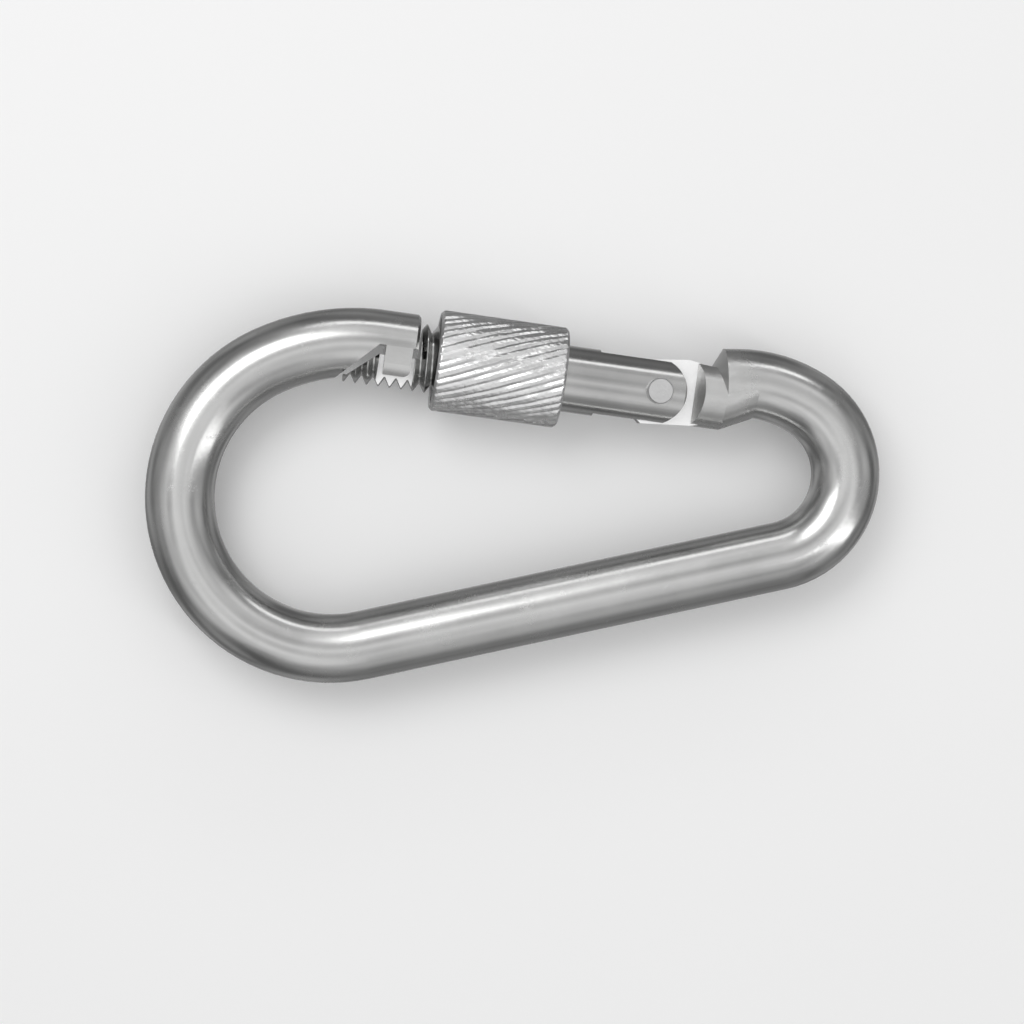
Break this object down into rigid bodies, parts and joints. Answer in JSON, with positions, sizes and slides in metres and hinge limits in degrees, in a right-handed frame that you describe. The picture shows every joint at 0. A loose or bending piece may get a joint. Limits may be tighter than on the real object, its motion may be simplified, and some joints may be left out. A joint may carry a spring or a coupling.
{
  "type": "locking carabiner",
  "caption": "Pear-shaped round-bar steel carabiner with a sprung hinged gate and a knurled sleeve that screws over the nose to lock it shut.",
  "frame": {"origin": "centre of the wide bend, on the ring's mid-plane", "axes": "+X along the gate's axis from the nose to the hinge, +Y out through the gate side, +Z square to the ring's plane"},
  "size_m": [0.117, 0.0625, 0.0162],
  "materials": {
    "bar_steel": "polished bright steel with soft scuffs",
    "gate_steel": "turned bright steel",
    "sleeve_steel": "bright knurled steel",
    "rivet_steel": "satin steel",
    "plunger_steel": "ground steel",
    "spring_steel": "bare spring wire"
  },
  "bodies": {
    "body": {"body": "bar_steel"},
    "gate": {"gate": "gate_steel", "hinge_rivet": "rivet_steel", "closing_spring": "spring_steel"},
    "plunger": {"plunger": "plunger_steel"},
    "sleeve_slide": {"sleeve_rim": "sleeve_steel"},
    "sleeve": {"locking_sleeve": "sleeve_steel"}
  },
  "joints": [
    {"name": "gate_hinge", "type": "hinge", "parent": "body", "child": "gate", "pos_m": [0.04915, 0.02414, 0], "axis": [0, 0, 1], "range_deg": [0, 41], "stiffness_Nm_per_rad": 0.12, "springref_deg": -34.38},
    {"name": "plunger_slide", "type": "slide", "parent": "gate", "child": "plunger", "axis": [-1, 0, 0], "range_m": [0, 0.00231], "deforming": ["closing_spring"]},
    {"name": "sleeve_travel", "type": "slide", "parent": "gate", "child": "sleeve_slide", "axis": [-1, 0, 0], "range_m": [0, 0.00881]},
    {"name": "sleeve_turn", "type": "hinge", "parent": "sleeve_slide", "child": "sleeve", "pos_m": [0.02025, 0.02414, 0], "axis": [-1, 0, 0], "range_deg": [0, 1710]}
  ],
  "couplings": [
    {"joint": "plunger_slide", "follows": "gate_hinge", "m_per_rad": 0.0032},
    {"joint": "sleeve_travel", "follows": "sleeve_turn", "m_per_rad": 0.00029444}
  ]
}
